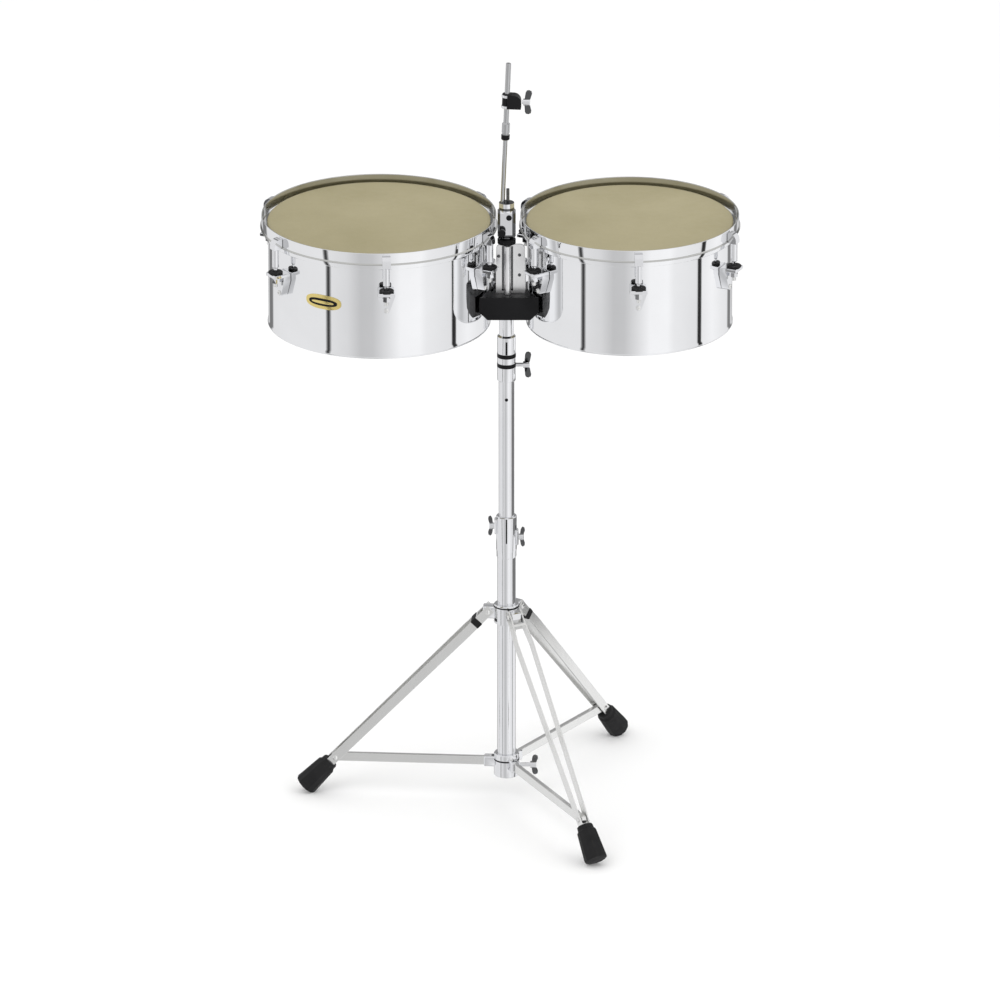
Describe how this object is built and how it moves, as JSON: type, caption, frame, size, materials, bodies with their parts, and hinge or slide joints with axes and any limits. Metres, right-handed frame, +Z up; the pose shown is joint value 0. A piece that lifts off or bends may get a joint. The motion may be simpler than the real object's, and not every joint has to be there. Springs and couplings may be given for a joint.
{
  "type": "timbales",
  "caption": "Pair of shallow steel single-headed drums with hook-tuned hoops on a tilting cradle with an accessory rod, carried by a height-adjustable folding tripod.",
  "frame": {"origin": "on the floor, under the middle of the object's bounding box", "axes": "+Z up; -Y towards the player's side, where the badge is; +X towards the smaller drum"},
  "size_m": [0.7756, 0.5968, 1.2864],
  "materials": {
    "polished_steel": "mirror-polished steel shells and hoops",
    "chrome_hardware": "bright chrome on tubes, castings, lugs, hooks and wing bolts",
    "plated_steel": "plated strip steel, a little softer than the castings",
    "drum_head": "khaki-tan coated film with a satin face",
    "black_casting": "satin black coat with a fine grain",
    "black_rubber": "moulded black rubber, matt",
    "badge_metal": "polished gold-coloured badge, blank"
  },
  "bodies": {
    "base": {"lower_tube": "chrome_hardware", "leg_hub": "chrome_hardware", "height_clamp": "chrome_hardware"},
    "leg_left": {"leg_left": "plated_steel", "foot_left": "black_rubber"},
    "leg_back": {"leg_back": "plated_steel", "foot_back": "black_rubber"},
    "leg_front": {"leg_front": "plated_steel", "foot_front": "black_rubber"},
    "brace": {"brace_hub": "chrome_hardware"},
    "brace_wing": {"hub_wing": "chrome_hardware"},
    "strut_left": {"strut_left": "plated_steel"},
    "strut_back": {"strut_back": "plated_steel"},
    "strut_front": {"strut_front": "plated_steel"},
    "height_wing_left": {"height_wing_left": "chrome_hardware"},
    "height_wing_right": {"height_wing_right": "chrome_hardware"},
    "mast": {"upper_tube": "chrome_hardware"},
    "post": {"tilter_post": "chrome_hardware"},
    "post_wing": {"post_wing": "chrome_hardware"},
    "cradle": {"cradle_block": "black_casting", "tilt_bolt": "plated_steel", "cradle_bracket": "chrome_hardware", "rod_clamp": "chrome_hardware"},
    "clamp_knob": {"rod_clamp_knob": "black_casting"},
    "drum_left": {"shell_left": "polished_steel", "mount_plate_left": "chrome_hardware", "lug_left_1": "chrome_hardware", "lug_left_2": "chrome_hardware", "lug_left_3": "chrome_hardware", "lug_left_4": "chrome_hardware", "lug_left_5": "chrome_hardware", "lug_left_6": "chrome_hardware"},
    "rim_left": {"hoop_left": "polished_steel", "head_left": "drum_head", "hook_left_1": "chrome_hardware", "hook_left_2": "chrome_hardware", "hook_left_3": "chrome_hardware", "hook_left_4": "chrome_hardware", "hook_left_5": "chrome_hardware", "hook_left_6": "chrome_hardware"},
    "drum_right": {"shell_right": "polished_steel", "mount_plate_right": "chrome_hardware", "lug_right_1": "chrome_hardware", "lug_right_2": "chrome_hardware", "lug_right_3": "chrome_hardware", "lug_right_4": "chrome_hardware", "lug_right_5": "chrome_hardware", "lug_right_6": "chrome_hardware"},
    "rim_right": {"hoop_right": "polished_steel", "head_right": "drum_head", "hook_right_1": "chrome_hardware", "hook_right_2": "chrome_hardware", "hook_right_3": "chrome_hardware", "hook_right_4": "chrome_hardware", "hook_right_5": "chrome_hardware", "hook_right_6": "chrome_hardware"},
    "accessory_rod": {"accessory_rod_lower": "chrome_hardware", "accessory_rod_upper": "chrome_hardware"},
    "top_clamp": {"top_clamp": "black_casting"},
    "top_nut": {"top_wing_nut": "chrome_hardware"}
  },
  "joints": [
    {"name": "leg_left_fold", "type": "hinge", "parent": "base", "child": "leg_left", "pos_m": [-0.02059, 0.01314, 0.326], "axis": [-0.0698, -0.9976, 0], "range_deg": [0, 40]},
    {"name": "leg_back_fold", "type": "hinge", "parent": "base", "child": "leg_back", "pos_m": [0.02612, 0.03592, 0.326], "axis": [-0.829, 0.5592, 0], "range_deg": [0, 40]},
    {"name": "leg_front_fold", "type": "hinge", "parent": "base", "child": "leg_front", "pos_m": [0.02249, -0.01591, 0.326], "axis": [0.8988, 0.4384, 0], "range_deg": [0, 40]},
    {"name": "brace_slide", "type": "slide", "parent": "base", "child": "brace", "axis": [0, 0, 1], "range_m": [0, 0.15091]},
    {"name": "strut_left_turn", "type": "hinge", "parent": "brace", "child": "strut_left", "pos_m": [-0.01909, 0.01304, 0.06327], "axis": [-0.0698, -0.9976, 0], "range_deg": [0, 84.6]},
    {"name": "strut_back_turn", "type": "hinge", "parent": "brace", "child": "strut_back", "pos_m": [0.02528, 0.03468, 0.06327], "axis": [-0.829, 0.5592, 0], "range_deg": [0, 84.6]},
    {"name": "strut_front_turn", "type": "hinge", "parent": "brace", "child": "strut_front", "pos_m": [0.02183, -0.01457, 0.06327], "axis": [0.8988, 0.4384, 0], "range_deg": [0, 84.6]},
    {"name": "brace_wing_turn", "type": "hinge", "parent": "brace", "child": "brace_wing", "pos_m": [0.04914, 0.01105, 0.056], "axis": [1, 0, 0], "continuous": true},
    {"name": "height_wing_left_turn", "type": "hinge", "parent": "base", "child": "height_wing_left", "pos_m": [-0.01146, 0.01105, 0.4734], "axis": [1, 0, 0], "continuous": true},
    {"name": "height_wing_right_turn", "type": "hinge", "parent": "base", "child": "height_wing_right", "pos_m": [0.03014, 0.01105, 0.4543], "axis": [1, 0, 0], "continuous": true},
    {"name": "mast_slide", "type": "slide", "parent": "base", "child": "mast", "axis": [0, 0, 1], "range_m": [-0.22, 0.09]},
    {"name": "post_swivel", "type": "hinge", "parent": "mast", "child": "post", "pos_m": [0.00934, 0.01105, 0.76], "axis": [0, 0, 1], "continuous": true},
    {"name": "post_wing_turn", "type": "hinge", "parent": "post", "child": "post_wing", "pos_m": [0.03714, 0.01105, 0.7515], "axis": [1, 0, 0], "continuous": true},
    {"name": "cradle_tilt", "type": "hinge", "parent": "post", "child": "cradle", "pos_m": [0.00934, 0.01105, 0.878], "axis": [1, 0, 0], "range_deg": [-20, 20]},
    {"name": "clamp_knob_turn", "type": "hinge", "parent": "cradle", "child": "clamp_knob", "pos_m": [0.00184, -0.06175, 1.0055], "axis": [0, -1, 0], "continuous": true},
    {"name": "drum_left_lift", "type": "slide", "parent": "cradle", "child": "drum_left", "axis": [0, 0, 1], "range_m": [0, 0.08]},
    {"name": "rim_left_slacken", "type": "slide", "parent": "drum_left", "child": "rim_left", "axis": [0, 0, 1], "range_m": [0, 0.006]},
    {"name": "drum_right_lift", "type": "slide", "parent": "cradle", "child": "drum_right", "axis": [0, 0, 1], "range_m": [0, 0.08]},
    {"name": "rim_right_slacken", "type": "slide", "parent": "drum_right", "child": "rim_right", "axis": [0, 0, 1], "range_m": [0, 0.006]},
    {"name": "rod_slide", "type": "slide", "parent": "cradle", "child": "accessory_rod", "axis": [0.0401, 0, 0.9992], "range_m": [0, 0.045]},
    {"name": "top_clamp_slide", "type": "slide", "parent": "accessory_rod", "child": "top_clamp", "axis": [0.0401, 0, 0.9992], "range_m": [-0.018, 0.04]},
    {"name": "top_nut_turn", "type": "hinge", "parent": "top_clamp", "child": "top_nut", "pos_m": [0.03703, -0.04945, 1.22073], "axis": [0.9992, 0, -0.0401], "continuous": true}
  ],
  "couplings": [
    {"joint": "leg_back_fold", "follows": "leg_left_fold", "ratio": 1},
    {"joint": "leg_front_fold", "follows": "leg_left_fold", "ratio": 1},
    {"joint": "brace_slide", "follows": "leg_left_fold", "m_per_rad": 0.21617},
    {"joint": "strut_left_turn", "follows": "leg_left_fold", "ratio": 2.115},
    {"joint": "strut_back_turn", "follows": "leg_left_fold", "ratio": 2.115},
    {"joint": "strut_front_turn", "follows": "leg_left_fold", "ratio": 2.115}
  ]
}
